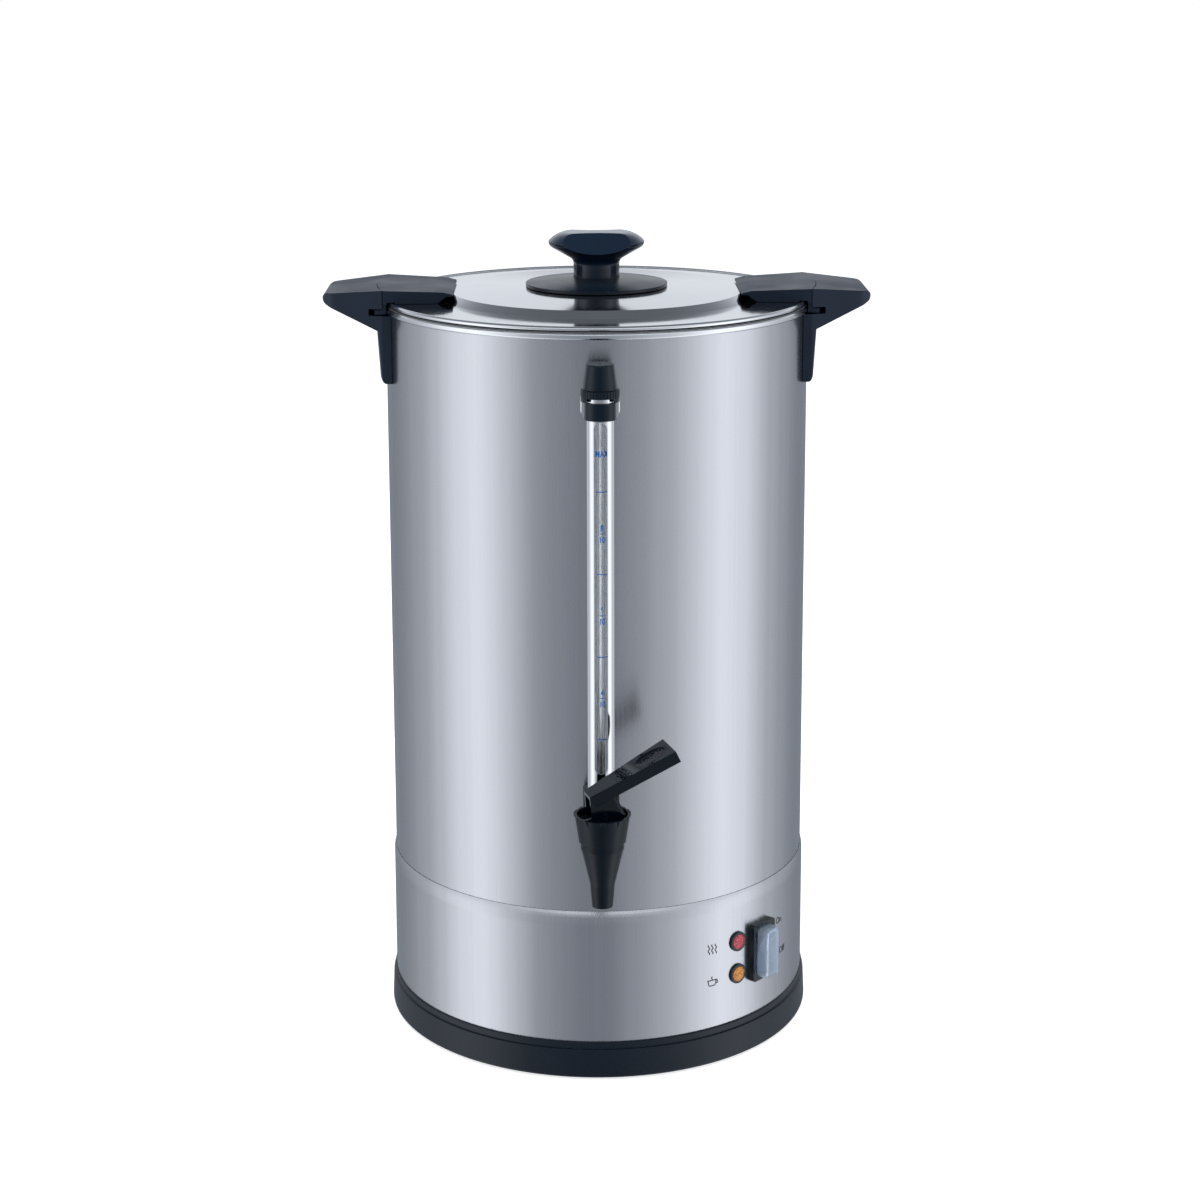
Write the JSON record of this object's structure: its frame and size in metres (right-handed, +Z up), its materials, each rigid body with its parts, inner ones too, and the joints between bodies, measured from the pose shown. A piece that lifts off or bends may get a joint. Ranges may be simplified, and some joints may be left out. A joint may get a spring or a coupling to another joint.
{
  "type": "hot water urn",
  "caption": "Stainless steel hot water urn with twist-lock lid, sight glass, lever tap, side handles, rocker switch and indicator lamps.",
  "frame": {"origin": "the urn's upright axis at the height of the floor it stands on", "axes": "+Z up, -Y out through the tap (front), +X to the right when seen from the front"},
  "size_m": [0.3472, 0.3482, 0.5171],
  "materials": {
    "satin_steel": "satin",
    "inner_steel": "satin",
    "polished_steel": "polished",
    "zinc_steel": "zinc plated",
    "cast_plate": "as cast",
    "element_steel": "dulled by heat",
    "copper": "drawn copper",
    "brass": "plain",
    "black_plastic": "fine grain",
    "gloss_black": "smooth",
    "control_plastic": "moulded",
    "pale_plastic": "moulded",
    "red_plastic": "smooth",
    "red_lens": "clear",
    "amber_lens": "clear",
    "rubber": "matt",
    "clear_rubber": "translucent silicone",
    "wire_cover": "silicone",
    "glass": "clear"
  },
  "bodies": {
    "urn": {"tank_shell": "satin_steel", "tank_floor": "inner_steel", "lower_housing": "satin_steel", "base_ring": "black_plastic", "feet": "rubber", "base_cover": "zinc_steel", "base_screws": "zinc_steel", "tie_rod": "zinc_steel", "heater_plate": "cast_plate", "heating_element": "element_steel", "keep_warm_element": "element_steel", "clamp_strap": "zinc_steel", "floor_nuts": "zinc_steel", "thermostat_bracket": "zinc_steel", "boil_thermostat": "control_plastic", "warm_thermostat": "control_plastic", "thermal_cutout": "control_plastic", "cutout_bulb": "copper", "terminal_block": "pale_plastic", "wiring": "wire_cover", "power_inlet": "black_plastic", "inlet_pins": "brass", "inlet_screws": "zinc_steel", "heating_lamp_holder": "gloss_black", "heating_lamp_lens": "red_lens", "warm_lamp_holder": "gloss_black", "warm_lamp_lens": "amber_lens", "switch_housing": "gloss_black", "switch_boot": "clear_rubber", "switch_blades": "brass", "handle_left": "black_plastic", "handle_right": "black_plastic", "drum_screws": "inner_steel", "gauge_guard": "polished_steel", "gauge_glass": "glass", "gauge_cap": "gloss_black", "gauge_collar": "gloss_black", "gauge_bracket": "polished_steel", "gauge_nut": "gloss_black", "gauge_base": "black_plastic", "gauge_seals": "clear_rubber", "tap_body": "gloss_black", "tap_bonnet": "gloss_black", "tap_washers": "clear_rubber", "tap_nut": "inner_steel"},
    "lid_ring": {"lid_seal": "clear_rubber"},
    "lid": {"lid_panel": "polished_steel", "knob_base": "black_plastic", "knob": "gloss_black", "lid_screws": "inner_steel", "lug_left": "black_plastic", "lug_right": "black_plastic"},
    "tap_swivel": {"tap_thrust_washer": "pale_plastic"},
    "tap_valve": {"tap_stem": "gloss_black", "tap_seat_cup": "clear_rubber", "tap_pin": "inner_steel", "tap_spring": "inner_steel"},
    "tap_handle": {"tap_lever": "gloss_black"},
    "rocker": {"switch_rocker": "gloss_black"},
    "reset": {"reset_button": "red_plastic"}
  },
  "joints": [
    {"name": "lid_lift", "type": "slide", "parent": "urn", "child": "lid_ring", "axis": [0, 0, 1], "range_m": [0, 0.18]},
    {"name": "lid_twist", "type": "hinge", "parent": "lid_ring", "child": "lid", "pos_m": [0, 0, 0.48], "axis": [0, 0, 1], "range_deg": [0, 34]},
    {"name": "tap_swivel", "type": "hinge", "parent": "urn", "child": "tap_swivel", "pos_m": [0, -0.19, 0.19], "axis": [0, 0, 1], "range_deg": [-246, 34]},
    {"name": "tap_stem_lift", "type": "slide", "parent": "tap_swivel", "child": "tap_valve", "axis": [0, 0, 1], "range_m": [0, 0.0045], "stiffness_N_per_m": 400, "springref_m": -0.002, "deforming": ["tap_spring"]},
    {"name": "tap_lever_tilt", "type": "hinge", "parent": "tap_valve", "child": "tap_handle", "pos_m": [0, -0.19, 0.1953], "axis": [-0.2798, 0.96, 0], "range_deg": [0, 36]},
    {"name": "switch_rock", "type": "hinge", "parent": "urn", "child": "rocker", "pos_m": [0.09751, -0.08597, 0.0665], "axis": [-0.6613, -0.7501, 0], "range_deg": [0, 18]},
    {"name": "reset_press", "type": "slide", "parent": "urn", "child": "reset", "axis": [0, 0, 1], "range_m": [0, 0.0015], "stiffness_N_per_m": 800, "springref_m": -0.001}
  ],
  "couplings": [
    {"joint": "tap_lever_tilt", "follows": "tap_stem_lift", "rad_per_m": 139.6}
  ]
}
